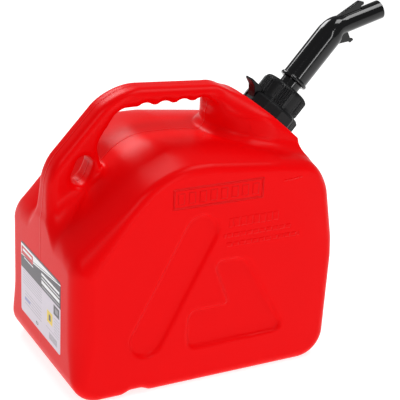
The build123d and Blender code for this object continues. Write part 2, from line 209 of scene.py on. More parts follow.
@dataclass(frozen=True)
class CanForm:
    """The blow-moulded body, handle and neck dome as one field, negative inside, in millimetres."""

    half_length: float
    half_depth: float
    handle_top: float
    seat: tuple[float, float]
    tilt: tuple[float, float]
    roof: float = 242.8
    foot_round: float = 28.0
    toe_round: float = 30.0
    bulge: float = 0.8
    bulge_height: float = 136.0
    toe_lean: float = 3.0
    roof_bend: float = 60.0
    band_bend: float = 115.0
    band_start: float = 60.0
    band_angle: float = 13.5
    facet_top: tuple[float, float] = (64.0, 227.0)
    facet_foot: tuple[float, float] = (131.0, 133.0)
    facet_angle: float = 13.0
    groove_x: float = -76.5
    groove_depth: float = 3.7
    grip_under: float = 273.5
    finger_pitch: float = 20.7
    first_finger: float = -38.0
    finger_radius: float = 12.0
    finger_depth: float = 3.0
    hole_centre: tuple[float, float] = (-105.0, 214.5)
    hole_radius: float = 9.5
    hole_half: float = 6.0
    hole_lean: float = 68.0
    handle_slope: tuple[tuple[float, float], tuple[float, float]] = ((-108.0, 253.0), (30.0, 33.0))
    handle_front: tuple[tuple[float, float], tuple[float, float]] = ((56.0, 280.0), (31.0, -20.0))
    handle_half: float = 16.0
    handle_foot: float = 130.0
    handle_end: float = 112.0
    dome_radius: float = 39.0
    dome_spread: float = 0.125
    dome_round: float = 11.0
    dome_top: float = -2.0
    dome_foot: float = -50.0
    relief: PanelRelief = field(default_factory=PanelRelief)

    def ends(self, x: Array, z: Array) -> Array:
        """The two ends and the grooved base: three lines and a bump, with round lower corners."""
        bump = rise(x, self.groove_x - 17, self.groove_x - 5) - rise(x, self.groove_x + 5, self.groove_x + 17)
        base = self.groove_depth * bump - z
        left = -x - self.half_length
        widest = (self.half_length + self.bulge, self.bulge_height)
        lower = edge_line(x, z, widest, (-self.toe_lean, -self.bulge_height))
        upper = edge_line(x, z, widest, (9.5, -83.2))
        right = meet(lower, upper, 0.6)
        return meet(meet(base, left, self.foot_round), right, self.toe_round)

    def roofs(self, x: Array, z: Array, bend: float) -> Array:
        """The sloping shoulder and the roof, as lines with rounds between them.

        Args:
            x: X places.
            z: Z places.
            bend: the radius between the shoulder and the roof.

        Returns:
            The field, negative inside.
        """
        shoulder = edge_line(x, z, (-133.0, 165.0), (57.0, 58.0))
        flat = z - self.roof
        fall = edge_line(x, z, (0.0, self.roof - 0.3), (78.0, -8.5))
        drop = edge_line(x, z, (78.0, self.roof - 8.8), (56.0, -13.5))
        roof = meet(meet(shoulder, flat, round_drop(bend, 45.0)), fall, 0.6)
        return meet(roof, drop, 1.0)

    def body(self, x: Array, side: Array, z: Array) -> Array:
        """The body: ends, roof with its shallow side bands, and the two faceted panels.

        Args:
            x: X places.
            side: distances from the middle plane.
            z: Z places.

        Returns:
            The field, negative inside.
        """
        angle = math.radians(self.band_angle)
        inner = self.roofs(x, z, self.band_bend)
        band = inner * math.cos(angle) + (side - self.band_start) * math.sin(angle)
        roofs = meet(self.roofs(x, z, self.roof_bend), band, 5.0)
        ends = self.ends(x, z)
        outline = meet(ends, roofs, 9.0 + 21.0 * rise(x, 0.0, 100.0))
        panel = side - self.half_depth + self.relief.sink(x, z)
        top, foot = self.facet_top, self.facet_foot
        away = edge_line(x, z, top, (foot[0] - top[0], foot[1] - top[1]))
        angle = math.radians(self.facet_angle)
        facet = away * math.sin(angle) + (side - self.half_depth) * math.cos(angle)
        panel = meet(panel, facet, 1.6)
        edge = 11.0 + 11.0 * rise(-x, 80.0, 135.0) * rise(z, 8.0, 70.0) - 3.0 * rise(roofs - ends, -14.0, 14.0)
        return meet(outline, panel, edge)

    def opening(self, x: Array, side: Array, z: Array) -> Array:
        """The hand opening: four lines rounded together, joined by a round groove for each finger."""
        low_left = edge_line(x, z, (-82.0, 205.0), (-8.0, 35.0))
        high_left = edge_line(x, z, (-90.0, 240.0), (23.0, 34.0))
        top = z - self.grip_under
        right = x - 34.0 - 0.011 * np.minimum(side, 45.0) ** 2
        shape = meet(meet(low_left, high_left, 5.0), top, 7.0)
        shape = meet(shape, right, 6.0)
        for finger in range(4):
            centre = self.first_finger + finger * self.finger_pitch
            height = self.grip_under + self.finger_depth - self.finger_radius
            groove = np.hypot(x - centre, z - height) - self.finger_radius
            shape = join(shape, groove, 1.0)
        return shape

    def small_hole(self, x: Array, z: Array) -> Array:
        """The small hole behind the handle: the distance to a short leaning line, less its radius."""
        lean = math.radians(self.hole_lean)
        across, up = x - self.hole_centre[0], z - self.hole_centre[1]
        along = np.clip(across * math.cos(lean) + up * math.sin(lean), -self.hole_half, self.hole_half)
        return np.hypot(across - along * math.cos(lean), up - along * math.sin(lean)) - self.hole_radius

    def handle(self, x: Array, side: Array, z: Array) -> Array:
        """The handle joined to the dome: four lines seen from the side, a width that grows, two holes."""
        back = edge_line(x, z, (-self.half_length + 0.3, 155.0), (3.0, 48.0))
        slope = edge_line(x, z, *self.handle_slope)
        top = edge_line(x, z, (-41.0, self.handle_top), (68.0, -4.0))
        front = edge_line(x, z, *self.handle_front)
        outline = meet(back, slope, round_drop(45.0, 42.0))
        outline = meet(outline, top, round_drop(62.0, 51.0))
        outline = meet(outline, front, round_drop(40.0, 29.0))
        towards_dome = 20.0 * rise(x, 30.0, 92.0) + 17.0 * rise(x, 12.0, 44.0) * rise(-z, -284.0, -258.0)
        towards_foot = 7.0 * rise(-z, -200.0, -150.0) * rise(-x, 90.0, 130.0)
        width = self.handle_half + towards_dome + towards_foot
        bar = meet(outline, side - width, 9.0)
        bar = np.maximum(np.maximum(bar, x - self.handle_end), self.handle_foot - z)
        root = 8.0 + 22.0 * rise(x, 26.0, 50.0)
        bar = join(bar, self.dome(x, side, z), root)
        bar = np.maximum(bar, self.along_neck(x, z) - self.dome_top)
        bar = meet(bar, -self.opening(x, side, z), 7.0)
        return meet(bar, -self.small_hole(x, z), 6.0)

    def along_neck(self, x: Array, z: Array) -> Array:
        """Height above the neck's seat, measured along the neck."""
        return (x - self.seat[0]) * self.tilt[0] + (z - self.seat[1]) * self.tilt[1]

    def dome(self, x: Array, side: Array, z: Array) -> Array:
        """The cone that carries the neck: distance from the neck's line, less a radius that grows below."""
        lean, upright = self.tilt
        along = self.along_neck(x, z)
        out = (x - self.seat[0]) * upright - (z - self.seat[1]) * lean
        radius = self.dome_radius + self.dome_spread * (self.dome_top - along)
        cone = meet(np.hypot(out, side) - radius, along - self.dome_top, self.dome_round)
        return np.maximum(cone, self.dome_foot - along)

    def __call__(self, x: Array, y: Array, z: Array) -> Array:
        """The whole outside: body, handle and dome with round fillets, cut flat at the label's end."""
        side = np.abs(y)
        fillet = 5.0 + 11.0 * rise(x, 10.0, 50.0) + 11.0 * rise(-x, 96.0, 128.0)
        shape = join(self.body(x, side, z), self.handle(x, side, z), fillet)
        return np.maximum(shape, -x - self.half_length)


# ---------------------------------------------------------------- meshes

def put_mesh(name: str, points: Array, faces: Array, body: Body,
             paint: bpy.types.Material) -> bpy.types.Object:
    """Puts points and four-sided faces into a new mesh, and the piece on its body.

    Args:
        name: the piece's name.
        points: n by 3, in millimetres, in the row's axes.
        faces: m by 4 point numbers, counter-clockwise from outside.
        body: what it rides on.
        paint: its material.

    Returns:
        The new object.
    """
    mesh = bpy.data.meshes.new(name)
    mesh.vertices.add(len(points))
    mesh.vertices.foreach_set("co", (points * MM).astype(np.float32).ravel())
    mesh.loops.add(faces.size)
    mesh.loops.foreach_set("vertex_index", faces.astype(np.int32).ravel())
    mesh.polygons.add(len(faces))
    mesh.polygons.foreach_set("loop_start", np.arange(0, faces.size, faces.shape[1], dtype=np.int32))
    mesh.polygons.foreach_set("use_smooth", np.full(len(faces), True))
    mesh.update(calc_edges=True)
    mesh.validate()
    mesh.materials.append(paint)
    piece = bpy.data.objects.new(name, mesh)
    bpy.context.scene.collection.objects.link(piece)
    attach(piece, body.value)
    return piece


def put_polygons(name: str, points: Array, faces: Sequence[Sequence[int]],
                 paint: bpy.types.Material) -> bpy.types.Object:
    """Puts points and faces of any number of sides into a new mesh, in no body yet.

    Args:
        name: the piece's name.
        points: n by 3, in millimetres, in the row's axes.
        faces: point numbers, counter-clockwise from outside.
        paint: its material.

    Returns:
        The new object.
    """
    mesh = bpy.data.meshes.new(name)
    mesh.from_pydata((points * MM).tolist(), [], faces)
    mesh.materials.append(paint)
    piece = bpy.data.objects.new(name, mesh)
    bpy.context.scene.collection.objects.link(piece)
    return piece


def surface_net(shape: Field, low: Array, high: Array, step: float) -> tuple[Array, Array]:
    """Four-sided faces around a field's zero surface.

    Every grid cell that the surface crosses gets one point, the mean of the crossings on its twelve
    edges, and every grid edge that the surface crosses gets one face between its four cells. Three
    steps down the field's slope then bring each point onto the surface.

    Args:
        shape: the field, negative inside.
        low: the grid's lowest corner, outside the shape.
        high: its highest corner.
        step: the grid's spacing.

    Returns:
        The points and the faces.
    """
    ticks = [np.arange(low[axis], high[axis] + step, step) for axis in range(3)]
    values = shape(*np.meshgrid(*ticks, indexing="ij", sparse=False))
    inside = values < 0.0
    counts = np.array(values.shape) - 1
    corners = np.array([[i, j, k] for i in (0, 1) for j in (0, 1) for k in (0, 1)])
    filled = sum(inside[tuple(slice(c, c + n) for c, n in zip(corner, counts))].astype(np.int8)
                 for corner in corners)
    cells = np.argwhere((filled > 0) & (filled < 8))
    number = np.full(counts, -1)
    number[tuple(cells.T)] = np.arange(len(cells))
    corner_values = np.stack([values[tuple((cells + corner).T)] for corner in corners], axis=1)
    total = np.zeros((len(cells), 3))
    hits = np.zeros(len(cells))
    for first in range(8):
        for axis in range(3):
            if corners[first][axis]:
                continue
            second = first + (4, 2, 1)[axis]
            a, b = corner_values[:, first], corner_values[:, second]
            crossed = (a < 0.0) != (b < 0.0)
            share = np.where(crossed, a / np.where(crossed, a - b, 1.0), 0.0)
            place = np.tile(corners[first].astype(float), (len(cells), 1))
            place[:, axis] += share
            total += place * crossed[:, None]
            hits += crossed
    points = np.array([tick[0] for tick in ticks]) + (cells + total / hits[:, None]) * step
    faces = []
    for axis in range(3):
        others = [other for other in range(3) if other != axis]
        ahead = np.moveaxis(inside, axis, 0)
        crossing = ahead[:-1, 1:-1, 1:-1] != ahead[1:, 1:-1, 1:-1]
        where = np.argwhere(crossing)
        leaving = ahead[:-1, 1:-1, 1:-1][tuple(where.T)]
        quad = []
        for i, j in ((0, 0), (1, 0), (1, 1), (0, 1)):
            cell = np.empty_like(where)
            cell[:, axis] = where[:, 0]
            cell[:, others[0]] = where[:, 1] + i
            cell[:, others[1]] = where[:, 2] + j
            quad.append(number[tuple(cell.T)])
        quad = np.stack(quad, axis=1)
        turn = leaving if axis != 1 else ~leaving
        faces.append(np.where(turn[:, None], quad, quad[:, ::-1]))
    return settle(shape, points), np.concatenate(faces)


def settle(shape: Field, points: Array, rounds: int = 3, reach: float = 0.05) -> Array:
    """Moves points onto a field's zero surface: each step goes against the slope by value over slope.

    Args:
        shape: the field.
        points: n by 3 points near the surface.
        rounds: how many steps.
        reach: how far each side of a point the slope is measured.

    Returns:
        The moved points.
    """
    for _ in range(rounds):
        value = shape(*points.T)
        slope = np.stack([
            (shape(*(points + reach * axis).T) - shape(*(points - reach * axis).T)) / (2.0 * reach)
            for axis in np.eye(3)
        ], axis=1)
        size = np.maximum((slope ** 2).sum(axis=1), 0.25)
        points = points - np.clip(value / size, -0.8, 0.8)[:, None] * slope
    return points


def grid_faces(rows: int, columns: int, wrap_rows: bool, wrap_columns: bool) -> Array:
    """Four-sided faces between neighbouring rows and columns of a grid of points.

    Args:
        rows: the number of rows.
        columns: the number of columns.
        wrap_rows: whether the last row joins the first.
        wrap_columns: whether the last column joins the first.

    Returns:
        The faces, as point numbers.
    """
    row, column = np.meshgrid(np.arange(rows - (not wrap_rows)), np.arange(columns - (not wrap_columns)),
                              indexing="ij")
    next_row, next_column = (row + 1) % rows, (column + 1) % columns
    quad = [row * columns + column, row * columns + next_column,
            next_row * columns + next_column, next_row * columns + column]
    return np.stack(quad, axis=-1).reshape(-1, 4)


@dataclass(frozen=True)
class NeckFrame:
    """The neck's own axes: a seat in the row's XZ plane and the neck's direction."""

    seat: tuple[float, float]
    tilt: tuple[float, float]

    def to_row(self, points: Array) -> Array:
        """Turns points from the neck's axes to the row's: seat + u (up, -lean) + w (lean, up).

        Args:
            points: any array whose last axis is u, v, w.

        Returns:
            The same points as x, y, z.
        """
        lean, upright = self.tilt
        u, v, w = points[..., 0], points[..., 1], points[..., 2]
        x = self.seat[0] + u * upright + w * lean
        z = self.seat[1] - u * lean + w * upright
        return np.stack([x, v, z], axis=-1)

    def turned(self, name: str, profile: Array, radius: Callable[[Array, Array], Array], steps: int,
               body: Body, paint: bpy.types.Material) -> bpy.types.Object:
        """A closed loop of (radius, height) turned about the neck, its radius changed by a rule.

        Args:
            name: the piece's name.
            profile: n by 2 loop of radius and height, running up the outside and down the inside.
            radius: gives the change of radius from the turn angle and the profile's row number.
            steps: how many points round the neck.
            body: what it rides on.
            paint: its material.

        Returns:
            The new object.
        """
        angle = np.linspace(0.0, 2.0 * math.pi, steps, endpoint=False)[None, :]
        row = np.arange(len(profile))[:, None]
        out = profile[:, :1] + radius(angle, row)
        points = np.stack([out * np.cos(angle), out * np.sin(angle),
                           np.broadcast_to(profile[:, 1:], out.shape)], axis=-1)
        faces = grid_faces(len(profile), steps, True, True)
        return put_mesh(name, self.to_row(points).reshape(-1, 3), faces, body, paint)

    def plate(self, name: str, outline: Array, thickness: float, edge: float, body: Body,
              paint: bpy.types.Material) -> bpy.types.Object:
        """A flat plate in the neck's u-w plane with bevelled edges.

        Args:
            name: the piece's name.
            outline: n by 2 loop of u and w, counter-clockwise with u to the right and w up.
            thickness: its thickness along v.
            edge: the bevel's width.
            body: what it rides on.
            paint: its material.

        Returns:
            The new object.
        """
        count = len(outline)
        layers = [np.column_stack([outline[:, 0], np.full(count, v), outline[:, 1]])
                  for v in (-thickness / 2.0, thickness / 2.0)]
        points = self.to_row(np.concatenate(layers))
        ring = np.arange(count)
        sides = np.stack([ring, (ring + 1) % count, (ring + 1) % count + count, ring + count], axis=1)
        faces = [ring.tolist(), (ring[::-1] + count).tolist(), *sides[:, ::-1].tolist()]
        piece = put_polygons(name, points, faces, paint)
        bevel = piece.modifiers.new("edge", "BEVEL")
        bevel.width = edge * MM
        bevel.segments = 3
        bevel.limit_method = "ANGLE"
        bevel.angle_limit = math.radians(50.0)
        bevel.harden_normals = True
        piece.data.polygons.foreach_set("use_smooth", np.full(len(faces), True))
        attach(piece, body.value)
        return piece


def rounded_loop(corners: Sequence[tuple[float, float, float]], spacing: float = 1.0, arc: int = 6) -> Array:
    """A closed loop of points through rounded corners, evenly divided along its straight runs.

    Each corner is an arc: the circle of its radius that touches both sides, walked in even turns.

    Args:
        corners: a run of (across, up, radius).
        spacing: the longest gap between points on a straight run.
        arc: how many points each rounded corner gets.

    Returns:
        n by 2 points.
    """
    places = np.array([corner[:2] for corner in corners], dtype=float)
    loops = []
    for index, (_, _, radius) in enumerate(corners):
        here = places[index]
        before = places[index - 1] - here
        after = places[(index + 1) % len(places)] - here
        before, after = before / np.linalg.norm(before), after / np.linalg.norm(after)
        half = math.acos(float(np.clip(before @ after, -1.0, 1.0))) / 2.0
        if radius <= 0.0 or abs(math.sin(half)) > 0.9999:
            loops.append(here[None, :])
            continue
        middle = (before + after) / np.linalg.norm(before + after)
        centre = here + middle * radius / math.sin(half)
        start = here + before * radius / math.tan(half) - centre
        end = here + after * radius / math.tan(half) - centre
        share = np.linspace(0.0, 1.0, arc)[:, None]
        spread = math.pi - 2.0 * half
        walk = np.sin((1 - share) * spread) * start + np.sin(share * spread) * end
        loops.append(centre + walk / math.sin(spread))
    points = np.concatenate(loops)
    following = np.roll(points, -1, axis=0)
    pieces = [here + (there - here) * np.linspace(0.0, 1.0, max(int(np.linalg.norm(there - here) / spacing), 1),
                                                  endpoint=False)[:, None]
              for here, there in zip(points, following)]
    return np.concatenate(pieces)


# ---------------------------------------------------------------- finishes

def linear(hex_colour: str) -> tuple[float, float, float, float]:
    """An sRGB hex colour as linear red, green, blue and full alpha.

    Args:
        hex_colour: six hex digits after a hash sign.

    Returns:
        The four channels.
    """
    parts = [int(hex_colour[place:place + 2], 16) / 255.0 for place in (1, 3, 5)]
    bent = [part / 12.92 if part <= 0.04045 else ((part + 0.055) / 1.055) ** 2.4 for part in parts]
    return (bent[0], bent[1], bent[2], 1.0)


def add_node(tree: bpy.types.NodeTree, kind: str, settings: dict | None = None, **inputs) -> bpy.types.Node:
    """Adds a shader node, sets its properties, and sets or links its inputs.

    Args:
        tree: the node tree.
        kind: the node's type name.
        settings: its properties.
        inputs: socket names, spaces as underscores, with a value or an output socket to link. A name
            that is a number after "at" picks the socket by place.

    Returns:
        The node.
    """
    made = tree.nodes.new(kind)
    for key, value in (settings or {}).items():
        setattr(made, key, value)
    for key, value in inputs.items():
        by_place = key[:2] == "at" and key[2:].isdigit()
        socket = made.inputs[int(key[2:]) if by_place else key.replace("_", " ")]
        if isinstance(value, bpy.types.NodeSocket):
            tree.links.new(value, socket)
        else:
            socket.default_value = value
    return made


def new_material(
        name: str) -> tuple[bpy.types.Material, bpy.types.NodeTree, bpy.types.Node, bpy.types.NodeSocket]:
    """A material with a surface shader and the piece's own coordinates.

    Args:
        name: the material's name.

    Returns:
        The material, its tree, its Principled shader and its Object coordinates.
    """
    made = bpy.data.materials.new(name)
    made.use_nodes = True
    tree = made.node_tree
    shader = tree.nodes["Principled BSDF"]
    place = add_node(tree, "ShaderNodeTexCoord").outputs["Object"]
    return made, tree, shader, place


def sum_node(tree: bpy.types.NodeTree, operation: str, *values: "float | bpy.types.NodeSocket",
             clamp: bool = False) -> bpy.types.NodeSocket:
    """One arithmetic node.

    Args:
        tree: the material's tree.
        operation: the node's operation.
        values: its inputs in order, numbers or sockets.
        clamp: whether the result is kept from 0 to 1.

    Returns:
        Its result.
    """
    inputs = {f"at{place}": value for place, value in enumerate(values)}
    return add_node(tree, "ShaderNodeMath", {"operation": operation, "use_clamp": clamp}, **inputs).outputs[0]


def soft_band(tree: bpy.types.NodeTree, value: bpy.types.NodeSocket, centre: float, half: float,
              edge: float) -> bpy.types.NodeSocket:
    """1 where value lies within half of centre, falling to 0 over edge: (half - |value - centre|) / edge + 1/2.

    Args:
        tree: the material's tree.
        value: where it is read.
        centre: the band's middle.
        half: half its width.
        edge: the width of its edges.

    Returns:
        The band.
    """
    away = sum_node(tree, "ABSOLUTE", sum_node(tree, "SUBTRACT", value, centre))
    return sum_node(tree, "MULTIPLY_ADD", away, -1.0 / edge, half / edge + 0.5, clamp=True)


def soft_block(tree: bpy.types.NodeTree, across: bpy.types.NodeSocket, up: bpy.types.NodeSocket,
               centre: tuple[float, float], half: tuple[float, float], edge: float) -> bpy.types.NodeSocket:
    """1 inside a rectangle, falling to 0 over its edges: the product of two bands.

    Args:
        tree: the material's tree.
        across: the first coordinate.
        up: the second coordinate.
        centre: the rectangle's middle.
        half: half its width and height.
        edge: the width of its edges.

    Returns:
        The block.
    """
    first = soft_band(tree, across, centre[0], half[0], edge)
    return sum_node(tree, "MULTIPLY", first, soft_band(tree, up, centre[1], half[1], edge))


@dataclass(frozen=True)
class PanelMarks:
    """The fine moulded shapes on the panels: a framed plate of plain blocks, and plain raised rows."""

    frame_centre: tuple[float, float] = (4.0, 205.5)
    frame_half: tuple[float, float] = (49.3, 10.5)
    frame_line: float = 1.5
    frame_height: float = 1.2
    blocks: int = 8
    block_pitch: float = 11.6
    block_half: tuple[float, float] = (3.4, 5.6)
    block_height: float = 1.0
    rows: tuple[tuple[float, float, float, float], ...] = (
        (45.0, 173.0, 28.0, 4.6), (50.0, 159.5, 38.0, 2.0), (57.0, 149.5, 42.0, 2.0), (88.0, 209.0, 12.0, 0.7),
    )
    row_height: float = 0.5
    row_gap: float = 7.4

    def height(self, tree: bpy.types.NodeTree, place: bpy.types.NodeSocket) -> bpy.types.NodeSocket:
        """The marks' height in millimetres, from the piece's own coordinates."""
        split = add_node(tree, "ShaderNodeSeparateXYZ", Vector=place)
        across = sum_node(tree, "MULTIPLY", split.outputs["X"], 1.0 / MM)
        up = sum_node(tree, "MULTIPLY", split.outputs["Z"], 1.0 / MM)
        outer = soft_block(tree, across, up, self.frame_centre, self.frame_half, 0.8)
        inner_half = (self.frame_half[0] - self.frame_line, self.frame_half[1] - self.frame_line)
        inner = soft_block(tree, across, up, self.frame_centre, inner_half, 0.8)
        total = sum_node(tree, "MULTIPLY", sum_node(tree, "SUBTRACT", outer, inner), self.frame_height)
        span = self.frame_centre[0] - self.blocks * self.block_pitch / 2.0
        one = sum_node(tree, "WRAP", sum_node(tree, "SUBTRACT", across, span), self.block_pitch, 0.0)
        block = soft_block(tree, one, up, (self.block_pitch / 2.0, self.frame_centre[1]), self.block_half, 1.0)
        block = sum_node(tree, "MULTIPLY", block, inner)
        total = sum_node(tree, "MULTIPLY_ADD", block, self.block_height, total)
        for middle, level, half, tall in self.rows:
            row = soft_block(tree, across, up, (middle, level), (half, tall), 0.9)
            cut = sum_node(tree, "WRAP", across, self.row_gap, 0.0)
            row = sum_node(tree, "MULTIPLY", row, soft_band(tree, cut, self.row_gap / 2.0, 2.9, 0.9))
            total = sum_node(tree, "MULTIPLY_ADD", row, self.row_height, total)
        return total


@dataclass(frozen=True)
class MouldedPlastic:
    """A moulded plastic: one colour in the mass, a skin copied from the mould, slight colour drift.

    grain_mm is the size of the mould skin's grain, and grain_depth_mm how deep it is.
    """

    name: str
    colour: str
    drift_colour: str
    roughness: float
    roughness_drift: float
    ior: float
    specular: float
    grain_mm: float
    grain_depth_mm: float
    seam_mm: float = 0.0
    seam_depth_mm: float = 0.0
    marks: PanelMarks | None = None

    def build(self) -> bpy.types.Material:
        """Builds the material: a slow colour drift, uneven gloss and a fine bump, with a mould seam."""
        made, tree, shader, place = new_material(self.name)
        slow = add_node(tree, "ShaderNodeTexNoise", Vector=place, Scale=1.0 / (60.0 * MM), Detail=3.0)
        colour = add_node(tree, "ShaderNodeMix", {"data_type": "RGBA"}, Factor=slow.outputs["Fac"],
                          at6=linear(self.colour), at7=linear(self.drift_colour))
        fine = add_node(tree, "ShaderNodeTexNoise", Vector=place, Scale=1.0 / (self.grain_mm * MM), Detail=4.0)
        gloss = add_node(tree, "ShaderNodeMapRange", Value=fine.outputs["Fac"], From_Min=0.3, From_Max=0.7,
                         To_Min=self.roughness - self.roughness_drift,
                         To_Max=self.roughness + self.roughness_drift)
        bump = add_node(tree, "ShaderNodeBump", Height=fine.outputs["Fac"], Strength=1.0,
                        Distance=self.grain_depth_mm * MM)
        if self.seam_mm:
            split = add_node(tree, "ShaderNodeSeparateXYZ", Vector=place)
            line = soft_band(tree, split.outputs["Y"], 0.0, self.seam_mm * MM / 2.0, self.seam_mm * MM / 2.0)
            bump = add_node(tree, "ShaderNodeBump", Height=line, Strength=1.0, Distance=self.seam_depth_mm * MM,
                            Normal=bump.outputs["Normal"])
        if self.marks:
            bump = add_node(tree, "ShaderNodeBump", Height=self.marks.height(tree, place), Strength=1.0,
                            Distance=MM, Normal=bump.outputs["Normal"])
        tree.links.new(colour.outputs[2], shader.inputs["Base Color"])
        tree.links.new(gloss.outputs["Result"], shader.inputs["Roughness"])
        tree.links.new(bump.outputs["Normal"], shader.inputs["Normal"])
        shader.inputs["IOR"].default_value = self.ior
        shader.inputs["Specular IOR Level"].default_value = self.specular
        return made


# Blow-moulded HDPE: waxy, dyed right through, with soft broad highlights.
RED_HDPE = MouldedPlastic("red_hdpe_blown", "#EE0206", "#E80105", 0.33, 0.03, 1.54, 0.06, 2.5, 0.012, 1.6, 0.4,
                          PanelMarks())
# Injection-moulded polypropylene from an etched mould: dark grey sheen, no mirror.
BLACK_PP = MouldedPlastic("black_polypropylene_etched", "#060608", "#09090B", 0.36, 0.05, 1.49, 0.26, 0.8,
                          0.02)
# Polypropylene from a polished mould: near black with sharp narrow highlights.
GLOSS_PP = MouldedPlastic("black_polypropylene_polished", "#030304", "#050507", 0.11, 0.02, 1.49, 0.5, 6.0,
                          0.002)
# Undyed acetal: off-white and slightly waxy.
NATURAL_POM = MouldedPlastic("natural_acetal", "#DCD8CC", "#D2CDBF", 0.38, 0.04, 1.48, 0.5, 2.0, 0.01)
# Nitrile rubber: dull black.
NITRILE = MouldedPlastic("nitrile_rubber", "#161616", "#1C1C1C", 0.65, 0.05, 1.52, 0.4, 0.6, 0.02)


@dataclass(frozen=True)
class DrawnWire:
    """Cold-drawn spring steel: bright grey with slightly uneven gloss. The real wire's fine lines along the
    draw are left out.
    """

    name: str = "drawn_spring_steel"
    colour: str = "#B9BABC"
    roughness: float = 0.3

    def build(self) -> bpy.types.Material:
        """Builds the material: a metal with slightly uneven gloss."""
        made, tree, shader, place = new_material(self.name)
        fine = add_node(tree, "ShaderNodeTexNoise", Vector=place, Scale=1.0 / (0.3 * MM), Detail=2.0)
        gloss = add_node(tree, "ShaderNodeMapRange", Value=fine.outputs["Fac"],
                         To_Min=self.roughness - 0.08, To_Max=self.roughness + 0.08)
        tree.links.new(gloss.outputs["Result"], shader.inputs["Roughness"])
        shader.inputs["Base Color"].default_value = linear(self.colour)
        shader.inputs["Metallic"].default_value = 1.0
        return made


@dataclass(frozen=True)
class PrintedFilm:
    """A printed polypropylene label film: plain blocks and bars, with no lettering.

    Places are in millimetres on the label's face, across from its middle and up from its middle, with
    across running from the far side to the near side.
    """

    name: str = "printed_label_film"
    centre: float = 79.75
    half: tuple[float, float] = (55.5, 39.75)
    paper: str = "#D9D1DC"
    white: str = "#F4F3F5"
    ink: str = "#3F3B43"
    red: str = "#D01528"
    yellow: str = "#EBCB1F"
    lilac: str = "#8D8FC8"
    edge: float = 0.3

    def build(self) -> bpy.types.Material:
        """Builds the material: each block's mask lays its colour over those before it."""
        made, tree, shader, place = new_material(self.name)
        split = add_node(tree, "ShaderNodeSeparateXYZ", Vector=place)
        across = sum_node(tree, "MULTIPLY", split.outputs["Y"], -1.0 / MM)
        up = sum_node(tree, "MULTIPLY_ADD", split.outputs["Z"], 1.0 / MM, -self.centre)
        colour = self.ground(tree, across, up)
        for centre, half, ink in self.blocks():
            colour = self.lay(tree, colour, soft_block(tree, across, up, centre, half, self.edge), ink)
        for upright, pitch, share, centre, half, ink in self.stripes():
            saw = sum_node(tree, "WRAP", across if upright else up, pitch, 0.0)
            line = sum_node(tree, "LESS_THAN", saw, pitch * share)
            area = soft_block(tree, across, up, centre, half, self.edge)
            colour = self.lay(tree, colour, sum_node(tree, "MULTIPLY", line, area), ink)
        tree.links.new(colour, shader.inputs["Base Color"])
        shader.inputs["Roughness"].default_value = 0.35
        shader.inputs["IOR"].default_value = 1.49
        return made

    def blocks(self) -> list[tuple[tuple[float, float], tuple[float, float], str]]:
        """The plain blocks as (middle, half size, colour), lowest first."""
        white, ink, red = self.white, self.ink, self.red
        return [
            ((-37.0, 30.5), (16.5, 4.6), red), ((-37.0, 31.5), (13.0, 1.3), white),
            ((-33.0, 23.6), (13.0, 0.6), white),
            ((45.0, 3.5), (7.6, 5.2), ink), ((45.0, 3.5), (4.0, 2.6), "#8F8C93"),
            ((27.0, -11.4), (7.5, 6.6), self.yellow), ((27.0, -11.4), (2.6, 3.4), ink),
            ((-36.6, -22.0), (8.0, 1.7), self.lilac), ((-8.5, -34.2), (3.0, 1.6), ink),
            ((-8.5, -34.2), (1.2, 0.7), white),
        ]

    def stripes(self) -> list[tuple[bool, float, float, tuple[float, float], tuple[float, float], str]]:
        """Striped areas as (whether the lines stand upright, pitch, inked share, middle, half size, colour)."""
        pale, white = "#B3AEB8", self.white
        return [
            (False, 2.9, 0.3, (-22.0, 1.0), (27.0, 8.5), pale),
            (False, 3.4, 0.3, (-20.0, -19.0), (24.0, 9.0), pale),
            (False, 3.1, 0.3, (46.0, -13.0), (7.0, 9.0), pale),
            (False, 3.1, 0.25, (34.0, -24.5), (17.0, 2.6), pale),
            (True, 1.6, 0.5, (36.0, -31.5), (11.0, 3.6), "#77737B"),
            (False, 6.0, 0.72, (28.0, 27.6), (24.5, 2.0), white),
            (False, 7.4, 0.74, (28.5, 20.0), (24.5, 3.4), white),
            (True, 1.9, 0.6, (29.0, 13.8), (24.0, 0.8), "#BDB9C0"),
        ]

    def lay(self, tree: bpy.types.NodeTree, under: bpy.types.NodeSocket, mask: bpy.types.NodeSocket,
            colour: str) -> bpy.types.NodeSocket:
        """The colour where the mask is 1, what is under it elsewhere."""
        return add_node(tree, "ShaderNodeMix", {"data_type": "RGBA"}, Factor=mask, at6=under,
                        at7=linear(colour)).outputs[2]

    def ground(self, tree: bpy.types.NodeTree, across: bpy.types.NodeSocket,
               up: bpy.types.NodeSocket) -> bpy.types.NodeSocket:
        """Paper with a dark band under a white head, and two dark rules.

        The band's upper edge is the line up = 30.2 + 0.107 across. A thin rule runs 1.7 above that edge,
        and a thicker one along the label's top.
        """
        level = sum_node(tree, "MULTIPLY_ADD", across, -0.107, up)
        paper = add_node(tree, "ShaderNodeRGB")
        paper.outputs[0].default_value = linear(self.paper)
        colour = self.lay(tree, paper.outputs[0], soft_band(tree, up, 30.0, 18.9, self.edge),
                          self.ink)
        head = sum_node(tree, "GREATER_THAN", level, 30.2)
        colour = self.lay(tree, colour, head, self.white)
        colour = self.lay(tree, colour, soft_band(tree, level, 31.9, 0.35, self.edge), self.ink)
        return self.lay(tree, colour, soft_band(tree, up, self.half[1] - 0.6, 1.6, self.edge),
                        self.ink)


# ---------------------------------------------------------------- sub-assemblies

